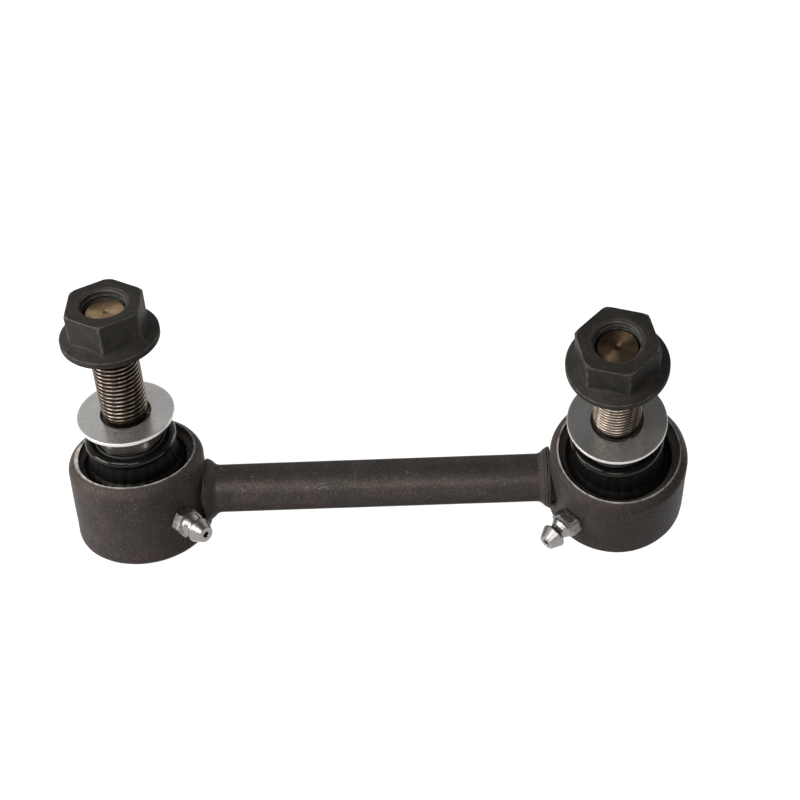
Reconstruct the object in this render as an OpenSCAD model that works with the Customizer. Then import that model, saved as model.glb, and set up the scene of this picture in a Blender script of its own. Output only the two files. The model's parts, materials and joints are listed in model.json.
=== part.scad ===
// Stabilizer link: a straight rod with a greasable ball joint welded on each end.
// Millimetres. The origin is the middle of the left housing's base, +Z runs up the left housing's axis
// and +X runs along the rod to the right housing.

/* [Link] */
// Distance between the two housing axes, along the rod
centre_distance = 126; // [100:1:220]
// Turn of the right housing about the rod, towards the front
end_twist = 23; // [0:1:60]
// Diameter of the rod
rod_d = 12.7; // [10:0.1:15]
// Height of the rod's axis above the housing's base
rod_z = 11.8; // [10:0.1:14]

/* [Weld] */
// Width of the weld flash along the rod, outside the housing
flash_w = 4.4; // [3:0.1:7]
// Height of the weld flash above the rod
flash_h = 1.9; // [1:0.1:2.5]

/* [Housing] */
// Diameter of the housing at its base
housing_d = 36; // [34:0.5:44]
// Height of the housing
housing_h = 25; // [24:0.5:30]
// Loss of radius from base to mouth
draft = 0.25; // [0:0.05:0.8]
// Rounding of the base edge
base_round = 2.8; // [1:0.1:4]
// Rounding of the rolled shoulder at the mouth
shoulder_round = 3.2; // [2.5:0.1:4]
// Thickness of the lip at the mouth
lip_wall = 2.25; // [1.8:0.05:3]
// Height of the rolled lip
lip_h = 1.7; // [1:0.1:2.5]
// How far the lip is rolled in over the boot ring
crimp = 0.5; // [0.3:0.05:0.8]
// Width of the ledge under the closing ring
ledge = 2.5; // [1.5:0.1:3.5]

/* [Bearing] */
// Diameter of the ball
ball_d = 18; // [16:0.2:19]
// How far the ball stands out above the upper bearing
ball_show = 4; // [3.4:0.1:5]
// Thickness of the closing ring
closing_t = 2; // [1.5:0.1:3]
// Furthest lean of the stud, to either side
swing = 20; // [15:1:26]
// Gap under the ball, above the floor of the cup
floor_gap = 1; // [0.6:0.1:2]
// Height of the disc spring as fitted
spring_h = 1.45; // [1.2:0.05:2]
// Thickness of the disc spring
spring_t = 0.8; // [0.5:0.05:1]
// Radius of the holes in the disc spring and in the floating seat
seat_hole_r = 5; // [3:0.1:6.5]
// Gap between the floating seat and the upper bearing
seat_split = 0.4; // [0.2:0.05:0.8]
// Depth of the grease groove round the floating seat
groove_depth = 0.8; // [0.4:0.1:1.5]
// Running clearance of the ball, the seat and other moving fits, per side
fit_gap = 0.05; // [0.02:0.01:0.1]

/* [Stud] */
// Diameter of the stud's neck
neck_d = 10; // [8:0.2:11]
// Length of the neck from the ball's centre
neck_len = 10.5; // [10:0.1:11.5]
// Diameter of the boot's seat on the stud
boot_seat_d = 14.6; // [12.4:0.2:15.6]
// Length of the boot's seat under the hexagon
boot_seat_len = 6.4; // [5.4:0.1:7]
// Distance from the ball's centre to the top of the hexagon
collar_top = 25.5; // [24.5:0.1:32]
// Height of the hexagon
collar_h = 5.9; // [4:0.1:6.4]
// Width of the hexagon across its flats
collar_af = 17; // [16:0.5:20]
// Diameter of the thread
thread_d = 12; // [10:0.5:14]
// Length from the hexagon's top to the end of the stud
thread_len = 33.3; // [30:0.1:50]
// Length of the thread's undercut above the hexagon
undercut_len = 1.5; // [1.2:0.1:3]
// Depth of the undercut below the thread
undercut_depth = 0.8; // [0.5:0.1:1.2]
// Chamfer at the end of the stud
stud_chamfer = 1; // [0.5:0.1:1.5]

/* [Boot] */
// Height of the boot's bead
bead_h = 2; // [1.4:0.1:3]
// Width of the boot's bead
bead_w = 4.4; // [3.8:0.1:5]
// Thickness of the boot's rim under the hexagon
boot_rim = 2.2; // [1.8:0.1:2.8]
// Wall of the boot's skirt
boot_wall = 1.3; // [1:0.1:1.6]
// Wall of the boot's lip round the stud
boot_lip = 0.9; // [0.6:0.1:1.2]
// How far the skirt's throat widens towards the housing
skirt_flare = 1; // [0.6:0.1:1.4]
// Air left between the boot and its neighbours
soft_gap = 0.3; // [0.2:0.05:0.4]
// Thickness of the boot ring that holds the bead
ring_t = 1.3; // [0.8:0.1:2]
// Width of the boot ring
ring_w = 2.3; // [2:0.05:3.2]
// Wire diameter of the clip round the boot's lip
clip_wire = 0.9; // [0.6:0.1:1.2]

/* [Washer] */
// Diameter of the washer
washer_d = 25; // [22:0.5:30]
// Thickness of the washer
washer_t = 1.1; // [0.8:0.1:3]
// Clearance of the washer's hole round the thread, per side
washer_gap = 0.5; // [0.3:0.05:1]

/* [Flange nut] */
// Width of the nut across its flats
nut_af = 18; // [17:0.5:22]
// Height of the nut with its flange
nut_h = 11; // [9:0.1:14]
// Diameter of the flange
flange_d = 24.8; // [23:0.2:28]
// Thickness of the flange at its rim
flange_t = 1.6; // [1:0.1:2.5]
// Slope of the top of the flange
flange_slope = 25; // [15:1:35]
// Clearance of the nut round the thread, per side
nut_gap = 0.06; // [0.05:0.01:0.15]
// Distance from the hexagon on the stud up to the nut
nut_place = 25.1; // [22:0.1:27]

/* [Grease fitting] */
// Direction of the fitting, from the rod towards the front
fitting_dir = 45; // [35:1:90]
// Width of the fitting's hexagon across its flats
fitting_af = 7; // [6:0.5:8]
// Height of the fitting's hexagon
fitting_hex_h = 3; // [2:0.1:4]
// Diameter of the fitting's thread
fitting_thread_d = 6; // [5:0.1:6.4]
// Diameter of the fitting's head
fitting_head_d = 6.5; // [6:0.1:7]
// Length of the fitting's coned head
fitting_head_len = 3.2; // [2.6:0.1:3.6]
// Slope of the head's cone
fitting_head_slope = 22; // [15:1:25]
// Diameter of the neck under the head
fitting_neck_d = 4.4; // [4:0.1:5]
// Length of the fitting outside the housing
fitting_len = 9.5; // [8.5:0.1:12]
// Diameter of the fitting's passage
passage_d = 2.6; // [2.2:0.1:2.8]
// Diameter of the check ball
check_ball_d = 2.4; // [2:0.1:2.5]
// Wire diameter of the check spring
check_wire = 0.36; // [0.2:0.02:0.44]
// Turns of the check spring
check_turns = 6; // [4:1:8]

/* [Pose] */
// Lean of the left stud
left_lean = 6; // [0:0.5:15]
// Direction of the left stud's lean, from the front towards the rod
left_lean_dir = 4; // [-180:1:180]
// Turn of the left nut about its stud
left_nut_turn = 31; // [0:1:60]
// Lean of the right stud
right_lean = 2.8; // [0:0.1:15]
// Direction of the right stud's lean, from the front towards the rod
right_lean_dir = 86; // [-180:1:180]
// Turn of the right nut about its stud
right_nut_turn = 18; // [0:1:60]
// Turn of the hexagon on both studs
collar_turn = 5; // [0:1:60]

/* [Hidden] */
$fn = 96;

base_r = housing_d / 2;
mouth_wall_r = base_r - draft;
mouth_r = mouth_wall_r - lip_wall;
counterbore_r = mouth_r + crimp;
bore_r = counterbore_r - ledge;

ring_top = housing_h - lip_h;
ring_bottom = ring_top - ring_t;
bead_bottom = ring_bottom - bead_h;
bearing_top = bead_bottom - closing_t;
ball_r = ball_d / 2;
bearing_cover = ball_r - ball_show;
ball_z = bearing_top - bearing_cover;
socket_r = ball_r + fit_gap;
floor_z = ball_z - ball_r - floor_gap;
seat_bottom = floor_z + spring_h + fit_gap;
seat_top = ball_z - seat_split;
seat_r = bore_r - fit_gap;
spring_r = bore_r - 2 * spring_t;
groove_h = 2 * groove_depth;

rod_r = rod_d / 2;
weld_x = base_r + flash_w / 4;
flash_r = rod_r + flash_h;
flash_face = base_r - flash_w / 6;
curl_r = flash_h / 2;
curl_step = flash_h / 5;
curl_pitch = 1.5 * curl_r;

neck_r = neck_d / 2;
swing_gap = 5 * fit_gap;
boot_seat_r = boot_seat_d / 2;
collar_bottom = collar_top - collar_h;
boot_seat_bottom = collar_bottom - boot_seat_len;
thread_r = thread_d / 2;
thread_start = collar_top + undercut_len;
stud_end = collar_top + thread_len;
nut_bottom = collar_top + nut_place;
lead_under_nut = 0.3;
lead_start = nut_bottom - lead_under_nut;
lead_taper = 0.06;
undercut_r = thread_r - undercut_depth;
nut_bore_r = thread_r + nut_gap;
nut_corner_r = nut_af / 2 / cos(30);
corner_share = 0.2;
edge_break = 0.4;
cut_past = 2;

boot_lip_r = boot_seat_r + soft_gap;
lip_out_r = boot_lip_r + boot_lip;
clip_r = lip_out_r + fit_gap + clip_wire / 2;
rim_r = boot_rim / 2;
rim_centre = lip_out_r + clip_wire + 4 * fit_gap + rim_r;
rim_d = collar_bottom - soft_gap - rim_r;
bead_r = counterbore_r - soft_gap;
ring_in_r = counterbore_r - ring_w;
skirt_r = sqrt(pow(ring_in_r, 2) + pow(ring_bottom - ball_z, 2)) - soft_gap;
skirt_mid = skirt_r - boot_wall / 2;
throat_mid = rim_centre - soft_gap;
foot_mid = throat_mid + skirt_flare;
foot_d = sqrt(pow(skirt_mid, 2) - pow(foot_mid, 2));
edge_clear = 3;

fitting_r = base_r + fit_gap;
shank_len = fitting_r - bore_r - soft_gap;
passage_r = passage_d / 2;
check_ball_r = check_ball_d / 2;
tip_hole_share = 0.78;
tip_hole_r = check_ball_r * tip_hole_share;
tip_lip = 1.1;
tip_seat = fitting_len - tip_lip;
check_ball_s = tip_seat - sqrt(pow(check_ball_r + fit_gap, 2) - pow(tip_hole_r, 2));
passage_floor = 1.4;
passage_step = passage_floor - shank_len;
check_coil_r = passage_r - fit_gap - check_wire / 2;
coil_sides = 8;
coil_steps = 12;

forged = "#3f3936";
black_steel = "#242322";
bronze = "#7d654d";
zinc = "#a9a6a1";
sintered = "#6d675f";
spring_steel = "#55585c";
nickel = "#c3c1bb";
rubber_black = "#151515";

// The left end's own frame is the part's frame.
module at_left() {
    children();
}

// The right end is the left one's mirror image, turned about the rod.
module at_right() {
    translate([centre_distance, 0, rod_z])
        rotate([end_twist, 0, 0])
            translate([0, 0, -rod_z])
                mirror([1, 0, 0])
                    children();
}

// A stud's frame: origin in the ball's centre, Z along the stud.
module on_stud(lean, lean_dir) {
    translate([0, 0, ball_z])
        rotate([0, 0, lean_dir])
            rotate([lean, 0, 0])
                rotate([0, 0, -lean_dir])
                    children();
}

module on_left_stud() {
    at_left() on_stud(left_lean, left_lean_dir) children();
}

module on_right_stud() {
    at_right() on_stud(right_lean, right_lean_dir) children();
}

// The grease fitting's frame: Z points out of the housing, zero where its hexagon stands.
module on_fitting() {
    translate([0, 0, rod_z])
        rotate([0, 0, -fitting_dir])
            rotate([0, 90, 0])
                translate([0, 0, fitting_r])
                    children();
}

// Along the rod, in an end's frame: Z runs from the housing's axis into the rod.
module along_rod() {
    translate([0, 0, rod_z])
        rotate([0, 90, 0])
            children();
}

// A ring with a rectangular section.
module ring(inner_r, outer_r, bottom, top) {
    rotate_extrude()
        translate([inner_r, bottom])
            square([outer_r - inner_r, top - bottom]);
}

// The half outline of the housing's outside, with its rounded base and rolled shoulder.
module housing_outline() {
    shoulder_z = housing_h - shoulder_round;
    translate([base_r - base_round, base_round]) circle(base_round);
    translate([mouth_wall_r - shoulder_round, shoulder_z]) circle(shoulder_round);
    polygon([
        [0, 0], [base_r - base_round, 0], [base_r, base_round], [mouth_wall_r, shoulder_z],
        [mouth_wall_r - shoulder_round, housing_h], [0, housing_h]
    ]);
}

// The half outline of the cup inside the housing, from its floor to the mouth.
module cup_outline() {
    polygon([
        [0, floor_z], [bore_r, floor_z], [bore_r, bearing_top], [counterbore_r, bearing_top],
        [counterbore_r, ring_top], [mouth_r, ring_top], [mouth_r, housing_h + cut_past],
        [0, housing_h + cut_past]
    ]);
}

// The cone that the leaning neck sweeps through the bearing and the closing ring.
module swing_cone() {
    reach = closing_t + bearing_cover + cut_past;
    foot = (neck_r + swing_gap) / cos(swing);
    translate([0, ball_z])
        polygon([[0, 0], [foot, 0], [foot + reach * tan(swing), reach], [0, reach]]);
}

module link_rod() {
    color(forged)
        along_rod()
            translate([0, 0, weld_x])
                cylinder(r = rod_r, h = centre_distance - 2 * weld_x);
}

// Forged cup with the stub that the rod is welded to, and the tapped hole for the grease fitting.
module housing() {
    color(forged)
        difference() {
            union() {
                rotate_extrude() housing_outline();
                along_rod() cylinder(r = rod_r, h = weld_x);
            }
            rotate_extrude() cup_outline();
            on_fitting()
                translate([0, 0, -shank_len - cut_past])
                    cylinder(d = fitting_thread_d + 2 * fit_gap, h = shank_len + 2 * cut_past);
        }
}

// Flash of the friction weld: a face beside the housing and two curls that run out onto the rod.
module weld_flash() {
    color(forged)
        difference() {
            along_rod()
                rotate_extrude()
                    difference() {
                        union() {
                            polygon([
                                [rod_r, flash_face], [flash_r - curl_r, flash_face],
                                [flash_r - curl_r, weld_x + curl_r],
                                [rod_r + curl_step / 2, base_r + flash_w - curl_r], [rod_r, base_r + flash_w]
                            ]);
                            translate([flash_r - curl_r, flash_face + curl_r]) circle(curl_r);
                            translate([flash_r - curl_r - curl_step, flash_face + curl_r + curl_pitch])
                                circle(curl_r);
                        }
                        square([rod_r, base_r + 2 * flash_w]);
                    }
            rotate_extrude() housing_outline();
        }
}

// Coned disc spring that pushes the floating seat up against the ball.
module preload_spring() {
    inner_r = seat_hole_r + spring_t;
    color(spring_steel)
        rotate_extrude()
            translate([0, floor_z])
                polygon([
                    [spring_r, 0], [spring_r, spring_t],
                    [inner_r, spring_h], [inner_r, spring_h - spring_t]
                ]);
}

// Floating lower seat with a grease groove round its top edge.
module ball_seat() {
    color(sintered)
        rotate_extrude()
            difference() {
                polygon([
                    [seat_hole_r, seat_bottom], [seat_r, seat_bottom], [seat_r, seat_top - groove_h],
                    [seat_r - groove_depth, seat_top - groove_h], [seat_r - groove_depth, seat_top],
                    [seat_hole_r, seat_top]
                ]);
                translate([0, ball_z]) circle(socket_r);
            }
}

// Fixed upper bearing that holds the ball down.
module upper_bearing() {
    color(sintered)
        rotate_extrude()
            difference() {
                translate([neck_r, ball_z])
                    square([bore_r - neck_r, bearing_cover]);
                translate([0, ball_z]) circle(socket_r);
                swing_cone();
            }
}

// Steel ring on the ledge that closes the bearing and carries the boot's bead.
module closing_ring() {
    color(black_steel)
        rotate_extrude()
            difference() {
                translate([neck_r, bearing_top])
                    square([counterbore_r - fit_gap - neck_r, closing_t]);
                translate([0, ball_z]) circle(ball_r + swing_gap);
                swing_cone();
            }
}

// Ball, neck, boot seat, hexagon and thread in one forging.
module ball_stud() {
    color(bronze) {
        sphere(ball_r);
        rotate_extrude()
            polygon([
                [0, 0], [neck_r, 0], [neck_r, neck_len], [boot_seat_r, boot_seat_bottom],
                [boot_seat_r, collar_bottom + edge_break], [undercut_r, collar_bottom + edge_break],
                [undercut_r, thread_start - edge_break], [thread_r, thread_start],
                [thread_r, lead_start], [thread_r - lead_taper, stud_end - stud_chamfer],
                [thread_r - stud_chamfer, stud_end], [0, stud_end]
            ]);
        translate([0, 0, collar_bottom])
            hexagon(collar_af, collar_h, edge_break, edge_break, collar_turn);
    }
}

// A hexagonal prism whose corners are turned off at the bottom and the top, a little inside the flats.
module hexagon(across_flats, height, bottom_break, top_break, turn) {
    corner_r = across_flats / 2 / cos(30);
    face_r = across_flats / 2 - edge_break / 2;
    run = corner_r - face_r;
    intersection() {
        rotate([0, 0, turn]) cylinder(r = corner_r, h = height, $fn = 6);
        rotate_extrude()
            polygon([
                [0, -bottom_break], [face_r - run, -bottom_break], [corner_r + run, 2 * bottom_break],
                [corner_r + run, height - 2 * top_break], [face_r - run, height + top_break],
                [0, height + top_break]
            ]);
    }
}

// Half outline of the boot's skirt: part of a hollow ball round the stud's ball, from the bead up to an edge
// that the leaning stud doesn't reach.
module skirt_outline(lean) {
    edge = asin(boot_seat_r / (skirt_r - boot_wall)) + lean + edge_clear;
    low = (bead_bottom + ring_bottom) / 2 - ball_z;
    translate([0, ball_z])
        intersection() {
            difference() {
                circle(skirt_r);
                circle(skirt_r - boot_wall);
            }
            polygon([
                [low * tan(edge), low], [skirt_r * tan(edge), skirt_r],
                [2 * skirt_r, skirt_r], [2 * skirt_r, low]
            ]);
        }
}

// Half outline of the boot's top, on the stud: throat, thick rim, and the lip that the clip holds.
module boot_top_outline() {
    half = boot_wall / 2;
    web_bottom = rim_d - boot_lip;
    polygon([
        [throat_mid - half, rim_d], [throat_mid + half, rim_d],
        [foot_mid + half, foot_d], [foot_mid - half, foot_d]
    ]);
    translate([rim_centre, rim_d]) circle(rim_r);
    polygon([
        [boot_lip_r, web_bottom], [rim_centre, web_bottom], [rim_centre, rim_d], [lip_out_r, rim_d],
        [lip_out_r, collar_bottom - soft_gap], [boot_lip_r, collar_bottom - soft_gap]
    ]);
}

// Rubber boot: the bead and the skirt stay with the housing, the throat, rim and lip lean with the stud.
module boot(lean, lean_dir) {
    color(rubber_black) {
        ring(bead_r - bead_w, bead_r, bead_bottom + fit_gap, ring_bottom - fit_gap);
        rotate_extrude() skirt_outline(lean);
        on_stud(lean, lean_dir)
            rotate_extrude() boot_top_outline();
    }
}

// Dished steel ring over the bead, held by the rolled lip.
module boot_ring() {
    color(forged)
        rotate_extrude()
            polygon([
                [ring_in_r, ring_bottom], [counterbore_r - fit_gap, ring_bottom],
                [counterbore_r - fit_gap, ring_top - fit_gap], [mouth_r - crimp, ring_top - fit_gap],
                [ring_in_r, ring_bottom + ring_t / 3]
            ]);
}

// Wire clip round the boot's lip, in the groove beside the rim.
module boot_clip() {
    color(spring_steel)
        rotate_extrude()
            translate([clip_r, rim_d + fit_gap + clip_wire / 2])
                circle(d = clip_wire);
}

module washer() {
    color(zinc)
        ring(thread_r + washer_gap, washer_d / 2, collar_top + fit_gap, collar_top + fit_gap + washer_t);
}

// Hexagon nut with a coned flange in one piece.
module flange_nut(turn) {
    flange_r = flange_d / 2;
    core_r = thread_r / 2;
    hex_bottom = flange_t / 2;
    corner_break = (nut_corner_r - nut_af / 2) * corner_share;
    color(black_steel)
        translate([0, 0, nut_bottom])
            difference() {
                union() {
                    translate([0, 0, hex_bottom])
                        hexagon(nut_af, nut_h - hex_bottom, edge_break, corner_break, turn);
                    rotate_extrude()
                        polygon([
                            [0, 0], [flange_r - edge_break, 0], [flange_r, edge_break], [flange_r, flange_t],
                            [core_r, flange_t + (flange_r - core_r) * tan(flange_slope)],
                            [0, flange_t + (flange_r - core_r) * tan(flange_slope)]
                        ]);
                }
                rotate_extrude()
                    polygon([
                        [0, -cut_past], [nut_bore_r, -cut_past], [nut_bore_r, nut_h - edge_break],
                        [nut_bore_r + edge_break + cut_past, nut_h + cut_past], [0, nut_h + cut_past]
                    ]);
            }
}

// Grease fitting: thread, hexagon, round shoulder, neck and coned head with a stepped passage.
module grease_fitting() {
    head_r = fitting_head_d / 2;
    shank_r = fitting_thread_d / 2;
    head_bottom = fitting_len - fitting_head_len;
    shoulder_r = fitting_af / 2 - edge_break;
    coil_inside_r = check_coil_r - check_wire / 2;
    color(nickel)
        difference() {
            union() {
                hexagon(fitting_af, fitting_hex_h, edge_break, edge_break, 0);
                rotate_extrude()
                    polygon([
                        [0, -shank_len], [shank_r - edge_break, -shank_len],
                        [shank_r, edge_break - shank_len], [shank_r, edge_break],
                        [shoulder_r, edge_break], [shoulder_r, fitting_hex_h + edge_break],
                        [fitting_neck_d / 2, head_bottom - edge_break],
                        [head_r - edge_break, head_bottom - edge_break], [head_r, head_bottom],
                        [head_r - fitting_head_len * tan(fitting_head_slope), fitting_len], [0, fitting_len]
                    ]);
            }
            rotate_extrude()
                polygon([
                    [0, -shank_len - cut_past], [coil_inside_r, -shank_len - cut_past],
                    [coil_inside_r, passage_step],
                    [passage_r, passage_step], [passage_r, tip_seat], [tip_hole_r, tip_seat],
                    [tip_hole_r, fitting_len + cut_past], [0, fitting_len + cut_past]
                ]);
        }
}

module check_ball() {
    color(nickel)
        translate([0, 0, check_ball_s])
            sphere(check_ball_r);
}

// Coil spring under the check ball, swept along a helix.
module check_spring() {
    wire_r = check_wire / 2;
    bottom = passage_step + fit_gap + wire_r;
    top = check_ball_s - check_ball_r - fit_gap - wire_r;
    last = check_turns * coil_steps;
    rows = [for (i = [0:last]) [for (k = [0:coil_sides - 1])
        let (turn = 360 * i / coil_steps, side = 360 * k / coil_sides, r = check_coil_r + wire_r * cos(side))
            [r * cos(turn), r * sin(turn), bottom + (top - bottom) * i / last + wire_r * sin(side)]]];
    points = [for (row = rows) for (p = row) p];
    skin = [for (i = [0:last - 1]) for (k = [0:coil_sides - 1])
        let (a = i * coil_sides + k, b = i * coil_sides + (k + 1) % coil_sides)
            each [[a, b + coil_sides, b], [a, a + coil_sides, b + coil_sides]]];
    start_cap = [for (k = [0:coil_sides - 1]) k];
    end_cap = [for (k = [coil_sides - 1:-1:0]) last * coil_sides + k];
    color(spring_steel)
        polyhedron(points, concat(skin, [start_cap, end_cap]));
}

link_rod();

at_left() housing();  // left_housing
at_left() weld_flash();  // left_weld_flash
at_left() preload_spring();  // left_preload_spring
at_left() ball_seat();  // left_ball_seat
at_left() upper_bearing();  // left_upper_bearing
at_left() closing_ring();  // left_closing_ring
on_left_stud() ball_stud();  // left_ball_stud
at_left() boot(left_lean, left_lean_dir);  // left_boot
at_left() boot_ring();  // left_boot_ring
on_left_stud() boot_clip();  // left_boot_clip
on_left_stud() washer();  // left_washer
on_left_stud() flange_nut(left_nut_turn);  // left_flange_nut
at_left() on_fitting() grease_fitting();  // left_grease_fitting
at_left() on_fitting() check_ball();  // left_check_ball
at_left() on_fitting() check_spring();  // left_check_spring

at_right() housing();  // right_housing
at_right() weld_flash();  // right_weld_flash
at_right() preload_spring();  // right_preload_spring
at_right() ball_seat();  // right_ball_seat
at_right() upper_bearing();  // right_upper_bearing
at_right() closing_ring();  // right_closing_ring
on_right_stud() ball_stud();  // right_ball_stud
at_right() boot(right_lean, right_lean_dir);  // right_boot
at_right() boot_ring();  // right_boot_ring
on_right_stud() boot_clip();  // right_boot_clip
on_right_stud() washer();  // right_washer
on_right_stud() flange_nut(right_nut_turn);  // right_flange_nut
at_right() on_fitting() grease_fitting();  // right_grease_fitting
at_right() on_fitting() check_ball();  // right_check_ball
at_right() on_fitting() check_spring();  // right_check_spring
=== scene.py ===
import json
import math

import bmesh
import bpy
import numpy as np
from bpy.props import FloatProperty, FloatVectorProperty, IntProperty, PointerProperty
from bpy.types import Operator, Panel, PropertyGroup
from mathutils import Matrix, Vector


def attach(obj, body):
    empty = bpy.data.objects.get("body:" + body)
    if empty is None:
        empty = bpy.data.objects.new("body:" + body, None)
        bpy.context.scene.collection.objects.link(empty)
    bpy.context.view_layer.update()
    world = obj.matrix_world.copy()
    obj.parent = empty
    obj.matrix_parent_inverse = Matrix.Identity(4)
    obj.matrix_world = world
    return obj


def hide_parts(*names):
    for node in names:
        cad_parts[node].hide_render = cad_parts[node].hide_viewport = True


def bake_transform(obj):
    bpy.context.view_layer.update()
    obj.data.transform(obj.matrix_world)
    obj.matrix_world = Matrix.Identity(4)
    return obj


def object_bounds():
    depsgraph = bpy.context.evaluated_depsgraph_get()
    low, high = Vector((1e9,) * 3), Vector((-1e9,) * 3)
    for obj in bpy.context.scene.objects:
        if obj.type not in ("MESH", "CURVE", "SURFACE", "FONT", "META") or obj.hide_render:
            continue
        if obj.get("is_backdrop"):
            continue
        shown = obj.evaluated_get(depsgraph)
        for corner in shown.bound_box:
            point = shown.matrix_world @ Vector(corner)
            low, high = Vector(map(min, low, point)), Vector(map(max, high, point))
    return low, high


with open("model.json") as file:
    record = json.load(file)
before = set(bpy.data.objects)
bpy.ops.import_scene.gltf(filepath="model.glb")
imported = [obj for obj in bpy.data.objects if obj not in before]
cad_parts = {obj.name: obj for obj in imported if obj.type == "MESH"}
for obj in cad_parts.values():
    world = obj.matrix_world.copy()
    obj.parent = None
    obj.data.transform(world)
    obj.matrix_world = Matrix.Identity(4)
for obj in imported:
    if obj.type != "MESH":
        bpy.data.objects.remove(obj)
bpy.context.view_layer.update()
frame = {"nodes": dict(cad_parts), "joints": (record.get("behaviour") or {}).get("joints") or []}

bl_info = {
    "name": "Stabilizer link",
    "version": (1, 0, 0),
    "blender": (4, 5, 0),
    "location": "3D View > Sidebar > Stabilizer link",
    "description": "Dresses a stabilizer link with two greasable ball joints around its packed frame",
    "category": "Object",
}

MM = 0.001
SIDES = ("left", "right")

# Sizes of the link in millimetres, as in its source.
# The nuts are 0.1 lower here, because their top corners are sharper.
FIT_GAP, SOFT_GAP = 0.05, 0.3
CENTRE_DISTANCE = 126.0
ROD_R, ROD_Z = 6.35, 11.8
WELD_X, STUB_X = 19.1, 14.0

BASE_R, DRAFT, HOUSING_H = 18.0, 0.25, 25.0
BASE_ROUND, SHOULDER_ROUND = 2.8, 3.2
LIP_WALL, LIP_H, CRIMP, LEDGE = 2.25, 1.7, 0.5, 2.5
TOP_R = BASE_R - DRAFT
MOUTH_R = TOP_R - LIP_WALL
COUNTERBORE_R = MOUTH_R + CRIMP
BORE_R = COUNTERBORE_R - LEDGE

RING_T, RING_W = 1.3, 2.3
BEAD_H, BEAD_W = 2.0, 4.4
CLOSING_T = 2.0
RING_TOP = HOUSING_H - LIP_H
RING_BOTTOM = RING_TOP - RING_T
BEAD_BOTTOM = RING_BOTTOM - BEAD_H
BEARING_TOP = BEAD_BOTTOM - CLOSING_T
BALL_R, BALL_SHOW, FLOOR_GAP = 9.0, 4.0, 1.0
BALL_Z = BEARING_TOP - BALL_R + BALL_SHOW
FLOOR_Z = BALL_Z - BALL_R - FLOOR_GAP

# Heights on the stud are measured from the ball's centre.
NECK_R, NECK_LEN = 5.0, 10.5
BOOT_SEAT_R, BOOT_SEAT_LEN = 7.3, 6.4
COLLAR_TOP, COLLAR_H, COLLAR_AF = 25.5, 5.9, 17.0
COLLAR_BOTTOM = COLLAR_TOP - COLLAR_H
BOOT_SEAT_BOTTOM = COLLAR_BOTTOM - BOOT_SEAT_LEN
THREAD_R, THREAD_LEN, END_FACE_R = 6.0, 33.3, 4.8
UNDERCUT_LEN, UNDERCUT_DEPTH = 1.5, 0.8
UNDERCUT_R = THREAD_R - UNDERCUT_DEPTH
THREAD_START = COLLAR_TOP + UNDERCUT_LEN
STUD_END = COLLAR_TOP + THREAD_LEN
COLLAR_TURN = {"left": 5.0, "right": 55.0}

BOOT_LIP, RIM_R, WEB_DROP = 0.9, 1.1, 0.9
BOOT_LIP_R = BOOT_SEAT_R + SOFT_GAP
BOOT_LIP_OUT = BOOT_LIP_R + BOOT_LIP
RIM_CENTRE = 10.7
RIM_D = COLLAR_BOTTOM - SOFT_GAP - RIM_R
WEB_D = RIM_D - WEB_DROP
SKIRT_R, SKIRT_TOP_R = 16.09, 12.0
CLIP_R, CLIP_D, CLIP_WIRE_R = 9.0, 18.7, 0.45

WASHER_R, WASHER_HOLE_R, WASHER_T = 12.5, 6.5, 1.1
NUT_PLACE, NUT_H, NUT_AF, NUT_GAP = 25.1, 10.9, 18.0, 0.06
NUT_BOTTOM = COLLAR_TOP + NUT_PLACE
NUT_BORE_R = THREAD_R + NUT_GAP
TURNED_R, MOUTH_TURNED_R = 9.75, 6.2
FLANGE_R, FLANGE_T, FLANGE_SLOPE = 12.4, 1.6, 25.0
NUT_TURN = {"left": 31.0, "right": 42.0}

FITTING_AF, FITTING_HEX_H, FITTING_LEN, FITTING_DIR = 7.0, 3.0, 9.5, 45.0
FITTING_SEAT_R = BASE_R + FIT_GAP
FITTING_SHANK_R = 3.0
FITTING_SHANK_LEN = FITTING_SEAT_R - BORE_R - SOFT_GAP
CHECK_BALL_R, CHECK_BALL_S = 1.2, 7.573

CAMERA_AT = (88.82, -347.88, 275.89)
CAMERA_RIGHT = (0.9984, 0.0154, -0.0548)
CAMERA_UP = (0.0365, 0.5652, 0.8241)
CAMERA_LENS, CAMERA_SENSOR = 74.19, 36.0


def length(name, description, default, low, high):
    return FloatProperty(name=name, description=description, default=default * MM,
                         min=low * MM, max=high * MM, precision=5, unit="LENGTH")


def colour(name, description, default):
    return FloatVectorProperty(name=name, description=description, default=default,
                               subtype="COLOR", min=0, max=1)


class LinkSizes(PropertyGroup):
    """Sizes of the details that only the dressed model shows."""

    thread_pitch: length("Thread pitch", "Rise of the stud's thread in one turn", 1.25, 0.5, 3.0)
    thread_depth: length("Thread depth", "Depth of the stud's thread", 0.76, 0.2, 1.5)
    edge_round: length("Edge rounding", "Rounding of the washers' edges", 0.22, 0.05, 0.5)
    forging_wave: length("Forging waviness", "Height of the slow waves in the forged walls", 0.05, 0.0, 0.2)
    columns: IntProperty(
        name="Columns", description="Facets round each turned piece", default=144, min=48, max=384)


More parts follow.
